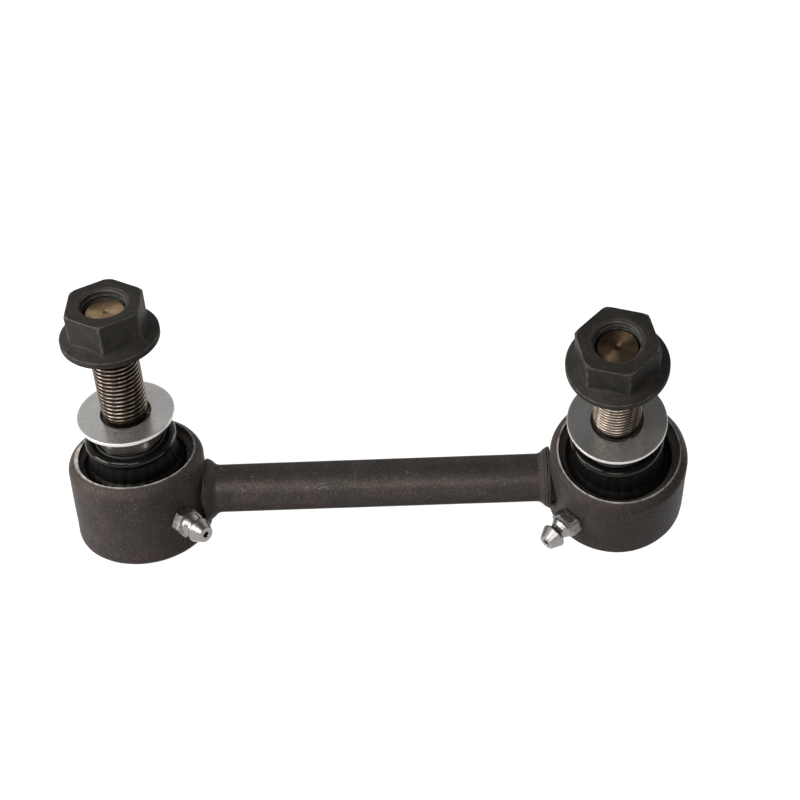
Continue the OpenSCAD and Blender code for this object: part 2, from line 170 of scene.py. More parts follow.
class LinkColours(PropertyGroup):
    """Colours of the link's finishes and of the stage."""

    coat: colour("Forging coat", "Dark coat of the housings and the rod", (0.0515, 0.0435, 0.0393))
    phosphate: colour("Nut phosphate", "Black phosphate of the flange nuts", (0.0300, 0.0283, 0.0252))
    thread: colour("Thread", "Bronze tint of the studs' threads", (0.272, 0.222, 0.182))
    zinc: colour("Washer zinc", "Zinc plate of the washers", (0.455, 0.446, 0.432))
    nickel: colour("Fitting nickel", "Bright plate of the grease fittings", (0.268, 0.257, 0.241))
    rubber: colour("Boot rubber", "Black rubber of the boots", (0.0044, 0.0041, 0.0038))
    floor: colour("Floor", "Pale floor under the link", (0.9, 0.9, 0.9))


def sizes():
    return bpy.context.scene.link_sizes


def colours():
    return bpy.context.scene.link_colours


def thread_size():
    """Pitch and depth of the thread, in millimetres."""
    return sizes().thread_pitch / MM, sizes().thread_depth / MM


# Frames of the two ends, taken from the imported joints.

def joint(name):
    return next(j for j in frame["joints"] if j["name"] == name)


def axes_matrix(x, y, z, origin):
    m = Matrix((x, y, z)).transposed().to_4x4()
    m.translation = origin
    return m


def housing_frame(side):
    """The housing's own millimetres: origin in the middle of its base, Z up its axis, X along the rod."""
    swivel = joint(f"{side}_seat_swivel")
    z = Vector(swivel["axis"]).normalized()
    x = Vector((1, 0, 0))
    return axes_matrix(x, z.cross(x), z, Vector(swivel["pos_m"]) - z * BALL_Z * MM) @ Matrix.Scale(MM, 4)


def stud_frame(side):
    """The stud's own millimetres: origin in the ball's centre, Z along the stud, leaned straight over."""
    swivel, spin = joint(f"{side}_seat_swivel"), joint(f"{side}_stud_spin")
    z, u = Vector(swivel["axis"]).normalized(), Vector(spin["axis"]).normalized()
    lean = z.rotation_difference(u)
    x = Vector((1, 0, 0))
    return axes_matrix(lean @ x, lean @ z.cross(x), u, Vector(spin["pos_m"])) @ Matrix.Scale(MM, 4)


def inward(side):
    return 1.0 if side == "left" else -1.0


def sideways_frame(side, out, reach):
    """Z points out of the housing at the rod's height, in millimetres, from a reach off its axis."""
    up = Vector((0, 0, 1))
    return housing_frame(side) @ axes_matrix(up.cross(out), up, out, out * reach + up * ROD_Z)


def fitting_frame(side):
    """The grease fitting's own millimetres: Z points out of the housing, zero where its hexagon stands."""
    a = math.radians(FITTING_DIR)
    return sideways_frame(side, Vector((inward(side) * math.cos(a), -math.sin(a), 0)), FITTING_SEAT_R)


def rod_frame(side):
    """Z runs from the housing's axis into the rod, in millimetres."""
    return sideways_frame(side, Vector((inward(side), 0, 0)), 0)


# Outlines and turned surfaces, in millimetres.

def arc(r, z, radius, start, stop, steps=8):
    a = np.radians(np.linspace(start, stop, steps + 1))
    return [(r + radius * math.cos(t), z + radius * math.sin(t)) for t in a]


def rounded(corners, steps=4):
    """An open outline whose corners (r, z, rounding) are turned into arcs."""
    nearly_straight = math.pi / 2 - 0.02
    made = []
    last = len(corners) - 1
    for i, corner in enumerate(corners):
        radius = corner[2] if len(corner) > 2 else 0.0
        p = np.array(corner[:2], float)
        if radius == 0 or i in (0, last):
            made.append(tuple(p))
            continue
        a = np.array(corners[i - 1][:2], float) - p
        b = np.array(corners[i + 1][:2], float) - p
        la, lb = np.linalg.norm(a), np.linalg.norm(b)
        a, b = a / la, b / lb
        half = math.acos(max(-1.0, min(1.0, float(a @ b)))) / 2
        if half > nearly_straight:
            made.append(tuple(p))
            continue
        reach = min(radius / math.tan(half), 0.49 * la, 0.49 * lb)
        for t in np.linspace(0, 1, steps + 1):
            q = p + a * reach * (1 - t) ** 2 + b * reach * t ** 2
            made.append(tuple(q))
    return made


def fine(path, step):
    """The same outline with no stretch longer than step."""
    made = [path[0]]
    for p, q in zip(path, path[1:]):
        n = max(1, math.ceil(math.dist(p, q) / step))
        made += [(p[0] + (q[0] - p[0]) * i / n, p[1] + (q[1] - p[1]) * i / n) for i in range(1, n + 1)]
    return made


def turn(path, columns=None):
    """Radius, height and angle of each point of a turned surface."""
    path = np.array(path, float)
    th = np.linspace(0, 2 * math.pi, columns or sizes().columns, endpoint=False)
    r = np.repeat(path[:, :1], len(th), 1)
    z = np.repeat(path[:, 1:2], len(th), 1)
    return r, z, np.repeat(th[None], len(path), 0)


def upright(heights, columns):
    """Rows at these heights, whose radius is still to be set."""
    return turn([(0, z) for z in heights], columns)


def polar(r, z, th):
    return np.stack([r * np.cos(th), r * np.sin(th), z], -1)


def soft_min(a, b, k):
    h = np.clip(0.5 + 0.5 * (b - a) / k, 0, 1)
    return b * (1 - h) + a * h - k * h * (1 - h)


def soft_max(a, b, k):
    return -soft_min(-a, -b, k)


def hexagon_corner(across_flats):
    return across_flats / 2 / math.cos(math.pi / 6)


def hexagon_r(th, across_flats, turned, k):
    """Radius of a hexagon with softened corners, with a corner at the angle turned."""
    facing, out_of_reach = 0.3, 1e3
    found = None
    for i in range(6):
        c = np.cos(th - math.radians(turned + 30 + 60 * i))
        plane = np.where(c > facing, across_flats / 2 / np.maximum(c, facing), out_of_reach)
        found = plane if found is None else soft_min(found, plane, k)
    return found


def chamfered(across_flats, low, high, drop):
    """Outline that trims a hexagon's corners: from its face out past the corners, up and back."""
    corner = hexagon_corner(across_flats)
    face = across_flats / 2 - 0.2
    out = corner + (corner - face)
    return [(face, low), (out, low + 2 * drop), (out, high - 2 * drop), (face, high)]


def corner_wear(six, across_flats, gain, start):
    """Wear along a hexagon's upright edges, from its radius."""
    flat = across_flats / 2
    return np.clip((six - flat) / (hexagon_corner(across_flats) - flat) * gain - start, 0, 1)


def thread_dip(z, th, pitch):
    """How far into the groove a point of a thread lies: 0 on the crest, 1 at the root."""
    root_flat, crest_flat, curve = 0.22, 0.13, 0.3
    u = z / pitch - th / (2 * math.pi)
    t = np.abs(u - np.floor(u) - 0.5) * 2
    g = np.clip((t - root_flat) / (1 - crest_flat - root_flat), 0, 1)
    return 1 - ((1 - curve) * g + curve * g * g * (3 - 2 * g))


def waves(x, y, z, seed):
    """Slow smooth waves between about -1 and 1, the same at each run."""
    lengths = (9.0, 6.0, 4.0, 2.7)
    rng = np.random.default_rng(seed)
    total = np.zeros_like(x)
    for wave in lengths:
        for _ in range(3):
            k = rng.normal(size=3)
            k = k / np.linalg.norm(k) * 2 * math.pi / wave
            total += np.sin(k[0] * x + k[1] * y + k[2] * z + rng.uniform(0, 6.28)) * wave / lengths[0]
    return total / len(lengths)


class Skin:
    """Gathers the surfaces of one piece in its own millimetres."""

    MERGED, COLLAPSED = 1e-4, 1e-5

    def __init__(self):
        self.points, self.wear, self.faces, self.slots = [], [], [], []
        self.count = 0

    def add(self, p, wear=0.0, slot=0, ring=False):
        """A sheet of rows round an axis; ring also joins its last row to its first."""
        rows, cols = p.shape[:2]
        self.points.append(p.reshape(-1, 3))
        self.wear.append(np.broadcast_to(wear, (rows, cols)).ravel())
        i = np.arange(rows if ring else rows - 1)[:, None]
        j = np.arange(cols)[None]
        a = i * cols + j
        b = i * cols + (j + 1) % cols
        c = (i + 1) % rows * cols + (j + 1) % cols
        d = (i + 1) % rows * cols + j
        quads = np.stack([a, b, c, d], -1).reshape(-1, 4) + self.count
        self.faces.append(quads)
        self.slots.append(np.full(len(quads), slot))
        self.count += rows * cols
        return self

    def mesh(self, name, matrix, materials, sharp):
        """The closed mesh, in metres in the row frame, with its own millimetres kept as an attribute."""
        points = np.concatenate(self.points)
        me = bpy.data.meshes.new(name)
        me.from_pydata(points.tolist(), [], np.concatenate(self.faces).tolist())
        own = me.attributes.new("own_mm", "FLOAT_VECTOR", "POINT")
        own.data.foreach_set("vector", points.astype(np.float32).ravel())
        # per-point mask: real wear on edges, and where some finishes paint shade or highlights
        worn = me.attributes.new("worn", "FLOAT", "POINT")
        worn.data.foreach_set("value", np.concatenate(self.wear).astype(np.float32))
        me.polygons.foreach_set("material_index", np.concatenate(self.slots).astype(np.int32))
        for m in materials:
            me.materials.append(m)
        bm = bmesh.new()
        bm.from_mesh(me)
        bmesh.ops.remove_doubles(bm, verts=bm.verts, dist=self.MERGED)
        bmesh.ops.dissolve_degenerate(bm, dist=self.COLLAPSED, edges=bm.edges)
        bmesh.ops.recalc_face_normals(bm, faces=bm.faces)
        limit = math.radians(sharp)
        for e in bm.edges:
            e.smooth = len(e.link_faces) == 2 and e.calc_face_angle(0.0) < limit
        for f in bm.faces:
            f.smooth = True
        bm.to_mesh(me)
        bm.free()
        me.transform(matrix)
        me.update()
        return me


def place(name, skin, at, finishes, body, node, sharp=38.0, flat=True):
    """Meshes a piece and puts it into the scene, on its body and in the place of its node."""
    mesh = skin.mesh(name, at, [finish(maker) for maker in finishes], sharp)
    piece = bpy.data.objects.new(name, mesh)
    bpy.context.scene.collection.objects.link(piece)
    if flat:
        mod = piece.modifiers.new("flat faces stay flat", "WEIGHTED_NORMAL")
        mod.keep_sharp = True
        mod.weight = 50
    if body:
        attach(piece, body)
    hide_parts(node)
    return piece


# Finishes.

class Nodes:
    """A node tree in the making."""

    def __init__(self, tree):
        self.tree = tree

    def first(self, kind):
        return next(n for n in self.tree.nodes if n.type == kind)

    def node(self, kind, **values):
        n = self.tree.nodes.new(kind)
        for k, v in values.items():
            setattr(n, k, v)
        return n

    def link(self, out, into):
        self.tree.links.new(out, into)

    def put(self, socket, value):
        """Links an output to a socket, or sets a colour or a number on it."""
        if hasattr(value, "links"):
            self.link(value, socket)
        elif hasattr(value, "__len__"):
            socket.default_value = (*value, 1.0)
        else:
            socket.default_value = value

    def span(self, value, low, high, to_low=0.0, to_high=1.0, how="LINEAR"):
        """The stretch from low to high, mapped to another and held at its ends."""
        n = self.node("ShaderNodeMapRange", interpolation_type=how, clamp=True)
        self.link(value, n.inputs["Value"])
        for key, v in (("From Min", low), ("From Max", high), ("To Min", to_low), ("To Max", to_high)):
            n.inputs[key].default_value = v
        return n.outputs["Result"]

    def ease(self, value, low, high, to_low=0.0, to_high=1.0):
        return self.span(value, low, high, to_low, to_high, "SMOOTHSTEP")

    def math(self, how, a, b=0.0):
        n = self.node("ShaderNodeMath", operation=how)
        self.put(n.inputs[0], a)
        self.put(n.inputs[1], b)
        return n.outputs[0]

    def mix(self, share, a, b):
        n = self.node("ShaderNodeMix", data_type="RGBA")
        for socket, v in ((n.inputs[0], share), (n.inputs[6], a), (n.inputs[7], b)):
            self.put(socket, v)
        return n.outputs[2]


class Finish(Nodes):
    """A material in the making, laid out in the piece's own millimetres."""

    def __init__(self, name):
        self.made = bpy.data.materials.new(name)
        self.made.use_nodes = True
        super().__init__(self.made.node_tree)
        self.bsdf = self.first("BSDF_PRINCIPLED")
        self.own = self.attribute("own_mm").outputs["Vector"]

    def attribute(self, name):
        return self.node("ShaderNodeAttribute", attribute_name=name)

    # mask of real wear, and of painted shade and painted highlights
    def worn(self):
        return self.attribute("worn").outputs["Fac"]

    def coordinates(self):
        n = self.node("ShaderNodeSeparateXYZ")
        self.link(self.own, n.inputs[0])
        return n.outputs

    def noise(self, scale, detail=3.0, rough=0.55, distort=0.0, stretch=None):
        """Noise with a number of waves in each millimetre."""
        n = self.node("ShaderNodeTexNoise")
        for key, v in (("Scale", scale), ("Detail", detail), ("Roughness", rough), ("Distortion", distort)):
            n.inputs[key].default_value = v
        where = self.own
        if stretch:
            m = self.node("ShaderNodeMapping")
            m.inputs["Scale"].default_value = stretch
            self.link(self.own, m.inputs["Vector"])
            where = m.outputs["Vector"]
        self.link(where, n.inputs["Vector"])
        return n.outputs["Fac"]

    def cloud(self, scale, rough=0.6, distort=0.0):
        """Soft patches between 0 and 1."""
        return self.span(self.noise(scale, 4.0, rough, distort), 0.3, 0.7)

    def bump(self, height, strength, distance, normal=None):
        n = self.node("ShaderNodeBump")
        n.inputs["Strength"].default_value = strength
        n.inputs["Distance"].default_value = distance
        self.link(height, n.inputs["Height"])
        if normal is not None:
            self.link(normal, n.inputs["Normal"])
        return n.outputs["Normal"]

    def shade(self, **sockets):
        for name, value in sockets.items():
            self.put(self.bsdf.inputs[name.replace("_", " ").title().replace("Ior", "IOR")], value)
        return self.made


# Tints that the finishes mix in, and the darkest and palest tint of those without a main colour.
TINTS = {
    "nick": (0.20, 0.185, 0.17),
    "scratch": (0.15, 0.138, 0.127),
    "rubbed lip": (0.46, 0.43, 0.40),
    # paler phosphate of rubbed edges, also used as a painted highlight on the bore's thread
    "rubbed phosphate and bore highlight": (0.17, 0.15, 0.135),
    "rubbed collar": (0.45, 0.42, 0.39),
    "tan band": (0.16, 0.10, 0.06),
    "tan speck": (0.08, 0.05, 0.03),
    "centre mark": (0.05, 0.033, 0.021),
    "dust": (0.015, 0.0138, 0.0125),
}
COLLAR_TINTS = (0.021, 0.0175, 0.015), (0.046, 0.038, 0.032)
TAN_TINTS = (0.29, 0.192, 0.112), (0.50, 0.35, 0.215)
RING_TINTS = (0.004, 0.004, 0.004), (0.012, 0.011, 0.010)
SPRING_TINTS = (0.05, 0.05, 0.055), (0.11, 0.11, 0.12)
BEARING_TINTS = (0.06, 0.052, 0.045), (0.2, 0.18, 0.16)
EDGE_TINT = (0.08, 0.08, 0.08)
RUBBER_GLEAM = (1.0, 0.93, 0.86)
FINISHES = {}


def scaled(colour, k, tint=(1.0, 1.0, 1.0)):
    return tuple(min(1.0, c * k * t) for c, t in zip(colour, tint))


def finish(maker):
    """The finish named after its maker, made the first time it is asked for."""
    name = maker.__name__.replace("_", " ")
    if name not in FINISHES:
        FINISHES[name] = maker(Finish(name))
    return FINISHES[name]


def forged_coat(f, shine=0.08, grit=0.00006, dull=0.08, tone=1.0):
    """Matte dark coat on shot-blasted forgings: grain, slow mottling, nicks, scratches and a rubbed lip."""
    base = scaled(colours().coat, tone)
    mottle = f.span(f.noise(0.16, 3.0, 0.6), 0.32, 0.68)
    grain = f.noise(2.3, 3.0, 0.7)
    coat = f.mix(mottle, scaled(base, 0.84, (0.97, 1.0, 0.97)), scaled(base, 1.12, (1.03, 0.985, 0.98)))
    coat = f.mix(f.span(grain, 0.30, 0.48, 0.75, 0.0), coat, scaled(base, 0.35))
    coat = f.mix(f.span(grain, 0.56, 0.72, 0.0, 0.5), coat, scaled(base, 2.6))
    nick = f.span(f.noise(0.62, 2.0, 0.5, 1.4, (1.0, 1.0, 1.8)), 0.725, 0.765, 0.0, 0.65)
    coat = f.mix(nick, coat, TINTS["nick"])
    off = f.math("ABSOLUTE", f.math("SUBTRACT", f.noise(0.13, 1.0, 0.4, 0.8), 0.5))
    line = f.span(off, 0.0, 0.006, 0.5, 0.0)
    scratch = f.math("MULTIPLY", line, f.span(f.noise(0.24, 2.0, 0.5), 0.53, 0.60))
    coat = f.mix(scratch, coat, TINTS["scratch"])
    rub = f.math("MULTIPLY", f.worn(), f.span(f.noise(0.32, 3.0, 0.6), 0.34, 0.60, 0.25, 1.0))
    coat = f.mix(rub, coat, TINTS["rubbed lip"])
    rough = f.span(grain, 0.3, 0.7, 0.44 + dull, 0.30 + dull)
    normal = f.bump(grain, 1.0, grit)
    normal = f.bump(f.noise(0.8, 3.0, 0.6), 0.20, 0.00010, normal)
    return f.shade(base_color=coat, roughness=rough, normal=normal, metallic=shine, specular_ior_level=0.045,
                   specular_tint=EDGE_TINT)


def rod_coat(f):
    """The same coat on the rod, whose blasted grain glints more."""
    return forged_coat(f, shine=0.4, grit=0.00003, dull=0.03, tone=1.1)


def nut_phosphate(f):
    """Satin black phosphate, paler on its rubbed edges, with a painted highlight on the crests of the bore's
    thread.
    """
    base = tuple(colours().phosphate)
    cloud = f.cloud(0.35, 0.62)
    grain = f.noise(2.8, 4.0, 0.68)
    coat = f.mix(cloud, scaled(base, 0.78, (0.94, 1.0, 0.98)), scaled(base, 1.25, (1.06, 0.98, 0.98)))
    coat = f.mix(f.span(grain, 0.56, 0.80, 0.0, 0.5), coat, scaled(base, 2.6))
    coat = f.mix(f.span(grain, 0.28, 0.45, 0.5, 0.0), coat, scaled(base, 0.45))
    rub = f.math("MULTIPLY", f.worn(), f.span(f.noise(0.6, 3.0, 0.6), 0.36, 0.66, 0.10, 0.75))
    coat = f.mix(rub, coat, TINTS["rubbed phosphate and bore highlight"])
    rough = f.span(cloud, 0.0, 1.0, 0.38, 0.50)
    normal = f.bump(grain, 0.6, 0.00007)
    return f.shade(base_color=coat, roughness=rough, normal=normal, metallic=0.2, specular_ior_level=0.05,
                   specular_tint=EDGE_TINT)


def collar_steel(f):
    """Dark brown oiled steel of the stud's hexagon and boot seat."""
    cloud = f.cloud(0.4)
    coat = f.mix(cloud, *COLLAR_TINTS)
    rub = f.math("MULTIPLY", f.worn(), f.span(f.noise(0.45, 2.0, 0.5), 0.56, 0.66))
    coat = f.mix(rub, coat, TINTS["rubbed collar"])
    rough = f.span(cloud, 0.0, 1.0, 0.38, 0.52)
    normal = f.bump(f.noise(2.6, 3.0, 0.6), 0.35, 0.00006)
    return f.shade(base_color=coat, roughness=rough, metallic=0.2, normal=normal)


def thread_bronze(f):
    """Rolled thread: pale bronze crests, and roots darkened by painted shade."""
    base = tuple(colours().thread)
    crest = f.mix(f.cloud(0.5, 0.65, 0.4), scaled(base, 0.72), scaled(base, 1.15))
    dip = f.worn()
    # painted shade: the deeper into the groove, the darker, down to about a tenth of the crest's colour at
    # the root
    skin = f.mix(f.span(dip, 0.03, 0.46), crest, scaled(base, 0.09, (1.0, 0.85, 0.75)))
    rough = f.span(dip, 0.0, 1.0, 0.30, 0.55)
    normal = f.bump(f.noise(3.0, 3.0, 0.6), 0.25, 0.00005)
    return f.shade(base_color=skin, roughness=rough, metallic=1.0, normal=normal)


def stud_face(f, tone=1.55):
    """Turned end of the stud: fine rings round a centre mark, tanned by heat."""
    x, y, _ = f.coordinates()
    r = f.math("SQRT", f.math("ADD", f.math("MULTIPLY", x, x), f.math("MULTIPLY", y, y)))
    rings = f.math("SINE", f.math("MULTIPLY", r, 52.0))
    bands = f.math("SINE", f.math("MULTIPLY", r, 11.0))
    tan = f.mix(f.cloud(0.55, 0.62), *(scaled(t, tone) for t in TAN_TINTS))
    tan = f.mix(f.span(bands, 0.2, 1.0, 0.0, 0.25), tan, scaled(TINTS["tan band"], tone))
    tan = f.mix(f.span(f.noise(1.2, 2.0, 0.5), 0.68, 0.76), tan, TINTS["tan speck"])
    tan = f.mix(f.span(r, 0.5, 0.85, 0.85, 0.0), tan, TINTS["centre mark"])
    normal = f.bump(rings, 1.0, 0.000011)
    return f.shade(base_color=tan, roughness=0.34, metallic=1.0, normal=normal)


def brown_stud_face(f):
    """The same turned end at a darker tone."""
    return stud_face(f, 0.34)


def washer_zinc(f):
    """Satin zinc plate with faint rolling marks and a painted highlight round its outer rim."""
    base = tuple(colours().zinc)
    plate = f.mix(f.cloud(0.3), scaled(base, 0.9), scaled(base, 1.08))
    plate = f.mix(f.span(f.noise(2.6, 3.0, 0.6), 0.64, 0.8, 0.0, 0.5), plate, scaled(base, 0.5))
    # painted highlight: the outer rim half as bright again
    plate = f.mix(f.math("MULTIPLY", f.worn(), 0.75), plate, scaled(base, 1.5))
    marks = f.noise(1.6, 4.0, 0.7, 0.0, (0.35, 3.2, 1.0))
    rough = f.math("ADD", f.span(marks, 0.3, 0.7, 0.18, 0.29), f.math("MULTIPLY", f.worn(), 0.22))
    normal = f.bump(marks, 0.12, 0.00004)
    return f.shade(base_color=plate, roughness=rough, metallic=0.85, normal=normal)


def fitting_nickel(f):
    """Bright plate: turned and smooth on the head, rougher on the hexagon."""
    base = tuple(colours().nickel)
    z = f.coordinates()[2]
    on_hex = f.span(z, FITTING_HEX_H - 0.1, FITTING_HEX_H + 0.3, 1.0, 0.0)
    cloud = f.noise(1.1, 4.0, 0.65)
    dull = f.mix(f.span(cloud, 0.36, 0.58), scaled(base, 0.3, (1.0, 0.95, 0.88)), scaled(base, 0.9))
    plate = f.mix(on_hex, base, dull)
    # painted shade: the mouth of the tip's hole darkened to a fifth of the plate
    plate = f.mix(f.worn(), plate, scaled(base, 0.2))
    rough = f.math("ADD", f.span(cloud, 0.3, 0.7, 0.32, 0.38), f.math("MULTIPLY", on_hex, 0.08))
    normal = f.bump(f.noise(2.2, 3.0, 0.6), 0.04, 0.00004)
    return f.shade(base_color=plate, roughness=rough, metallic=1.0, normal=normal)


def boot_rubber(f):
    """Glossy moulded rubber with a little dust, duller in its folds."""
    dust = f.span(f.noise(0.7, 4.0, 0.65), 0.56, 0.8, 0.0, 0.3)
    skin = f.mix(dust, tuple(colours().rubber), TINTS["dust"])
    smooth = f.span(f.noise(0.6, 3.0, 0.6), 0.3, 0.7, 0.10, 0.16)
    rough = f.math("ADD", smooth, f.math("MULTIPLY", f.worn(), 0.32))
    shine = f.span(f.worn(), 0.0, 1.0, 0.20, 0.06)
    normal = f.bump(f.noise(0.9, 2.0, 0.5), 0.12, 0.0002)
    return f.shade(base_color=skin, roughness=rough, normal=normal, specular_ior_level=shine,
                   specular_tint=RUBBER_GLEAM)


def black_ring(f):
    """Black oiled steel of the closing rings and the wire clips."""
    cloud = f.cloud(0.5)
    oiled = f.mix(cloud, *RING_TINTS)
    rough = f.span(cloud, 0.0, 1.0, 0.5, 0.65)
    normal = f.bump(f.noise(3.0, 3.0, 0.6), 0.3, 0.00005)
    return f.shade(base_color=oiled, roughness=rough, normal=normal, specular_ior_level=0.3)


def spring_wire(f):
    """Blued spring steel with draw marks."""
    marks = f.noise(2.0, 4.0, 0.65, 0.0, (1.0, 1.0, 6.0))
    blued = f.mix(f.span(marks, 0.3, 0.7), *SPRING_TINTS)
    return f.shade(base_color=blued, roughness=f.span(marks, 0.3, 0.7, 0.3, 0.45), metallic=0.9)


def sintered_bearing(f):
    """Oil-soaked sintered metal with open pores."""
    pores = f.noise(5.0, 3.0, 0.7)
    skin = f.mix(f.span(pores, 0.35, 0.6), *BEARING_TINTS)
    normal = f.bump(pores, 0.5, 0.0001)
    return f.shade(base_color=skin, roughness=f.span(pores, 0.3, 0.7, 0.3, 0.5), metallic=0.8, normal=normal)


# Pieces.

class LINK_OT_rod(Operator):
    """Straight round rod between the two welds"""

    bl_idname = "link.rod"
    bl_label = "Rod"

    SINK, WAVE_SHARE, WAVE_SEED = 0.03, 0.3, 3

    def execute(self, context):
        far = CENTRE_DISTANCE - WELD_X
        r, z, th = turn(fine([(0, WELD_X), (ROD_R, WELD_X), (ROD_R, far), (0, far)], 1.0))
        x, y, _ = np.moveaxis(polar(r, z, th), -1, 0)
        wave = waves(x, y, z * 0.5, self.WAVE_SEED) * sizes().forging_wave / MM * self.WAVE_SHARE
        r = np.where(r > ROD_R - FIT_GAP, r - self.SINK + wave, r)
        place("rod", Skin().add(polar(r, z, th)), rod_frame("left"), [rod_coat],
              "link", "link_rod")
        return {"FINISHED"}


class LINK_OT_housings(Operator):
    """Forged cups with a rounded base, a rolled lip and a stub towards the rod"""

    bl_idname = "link.housings"
    bl_label = "Housings"

    LIP_EDGE, SINK, CALM_R, WAVE_SEED = 0.1, 0.03, 6.0, 11
    PRESSED = {"left": 0.75, "right": 0.0}
    PRESSED_AT, PRESSED_SPREAD = 185.0, 0.56

    def execute(self, context):
        for i, side in enumerate(SIDES):
            skin = Skin()
            self.cup(skin, side, self.WAVE_SEED + i)
            self.stub(skin, side)
            place(f"{side}_cup", skin, housing_frame(side), [forged_coat],
                  "link", f"{side}_housing")
        return {"FINISHED"}

    def cup(self, skin, side, seed):
        shoulder = (TOP_R - SHOULDER_ROUND, HOUSING_H - SHOULDER_ROUND)
        lip_angle = math.acos((MOUTH_R + self.LIP_EDGE - TOP_R + SHOULDER_ROUND) / SHOULDER_ROUND)
        lip_z = shoulder[1] + SHOULDER_ROUND * math.sin(lip_angle)
        outside = [(0, 0), (BASE_R - BASE_ROUND, 0)]
        outside += arc(BASE_R - BASE_ROUND, BASE_ROUND, BASE_ROUND, -90, 0, 12)
        outside += arc(*shoulder, SHOULDER_ROUND, 0, math.degrees(lip_angle), 16)
        outside = fine(outside, 0.8)
        lip = [(MOUTH_R + 0.04, lip_z + 0.015), (MOUTH_R, lip_z - 0.05), (MOUTH_R, lip_z - 0.3)]
        inside = [(MOUTH_R, RING_TOP), (COUNTERBORE_R, RING_TOP), (COUNTERBORE_R, BEARING_TOP),
                  (BORE_R, BEARING_TOP), (BORE_R, FLOOR_Z), (0, FLOOR_Z)]
        r, z, th = turn(outside + lip + fine(inside, 1.0))
        wave = waves(*np.moveaxis(polar(r, z, th), -1, 0), seed) * sizes().forging_wave / MM
        edge = len(outside)
        forged, crimped = slice(1, edge - 4), slice(edge, edge + 4)
        moved = np.zeros_like(r)
        moved[forged] = ((wave - self.SINK) * np.clip(r / self.CALM_R, 0, 1))[forged]
        away = (th - math.radians(self.PRESSED_AT)) / self.PRESSED_SPREAD
        moved[crimped] = -self.PRESSED[side] * np.exp(-away[crimped] ** 2)
        worn = np.zeros((len(r), 1))
        worn[edge - 2] = 0.45
        worn[edge - 1:edge + 2] = 1.0
        skin.add(polar(r + moved, z, th), worn)

    def stub(self, skin, side):
        path = fine([(0, STUB_X), (ROD_R, STUB_X), (ROD_R, WELD_X), (0, WELD_X)], 1.5)
        x, y, z = np.moveaxis(polar(*turn(path)), -1, 0)
        skin.add(np.stack([z * inward(side), x, y + ROD_Z], -1))


class LINK_OT_weld_flash(Operator):
    """Curled flash of the friction weld round each end of the rod"""

    bl_idname = "link.weld_flash"
    bl_label = "Weld flash"

    FACE_X, END_X, LENGTH_SHARE = 17.3, 22.4, 0.68
    LUMP, GRAIN, SINK, FULLNESS = 0.13, 0.03, 0.12, 0.5
    CREASES, CREASE_W = (18.75, 19.75), 0.11
    DEPTHS = {"left": (0.26, 0.12), "right": (0.34, 0.28)}
    PITTED = {"left": 0.7, "right": 1.5}
    FULLER = {"left": 1.0, "right": 0.2}
    COLUMNS, LUMP_SEED, GRAIN_SEED = 180, 21, 41

    def execute(self, context):
        for i, side in enumerate(SIDES):
            place(f"{side}_flash", self.flash(side, i), rod_frame(side), [forged_coat],
                  "link", f"{side}_weld_flash", 60)
        return {"FINISHED"}

    def flash(self, side, i):
        foot = ROD_R - 0.6
        outline = [(foot, self.FACE_X), (7.3, self.FACE_X, 0.3), (8.15, 17.55, 0.4), (8.25, 18.3, 0.6),
                   (7.95, 19.2, 0.6), (7.6, 19.9, 0.7), (7.0, 20.7, 0.8), (6.55, 21.5, 0.8),
                   (ROD_R + 0.02, self.END_X), (foot, self.END_X)]
        r, z, th = turn(fine(rounded(outline, 6), 0.11), self.COLUMNS)
        x, y, _ = np.moveaxis(polar(r, z, th), -1, 0)
        lumps = waves(x * 0.8, y * 0.8, z * 0.5, self.LUMP_SEED + i)
        grain = waves(x * 3.5, y * 3.5, z * 5.0, self.GRAIN_SEED + i)
        raised = np.clip((r - ROD_R) / 1.6, 0, 1)
        pitted = self.PITTED[side]
        pits = np.clip(0.8 + pitted * grain, 0.1, 0.7 + pitted)
        crease = np.zeros_like(r)
        for at, depth in zip(self.CREASES, self.DEPTHS[side]):
            crease += depth * np.exp(-((z - at - 0.06 * lumps) / self.CREASE_W) ** 2) * pits
        under = np.clip(-np.sin(th) - 0.2, 0, 1) * self.FULLER[side]
        r = r + raised * (lumps * self.LUMP - self.SINK + self.GRAIN * grain - crease + under * self.FULLNESS)
        z = self.FACE_X + (z - self.FACE_X) * (self.LENGTH_SHARE + under * 0.12)
        return Skin().add(polar(r, z + raised * lumps * 0.06, th), ring=True)


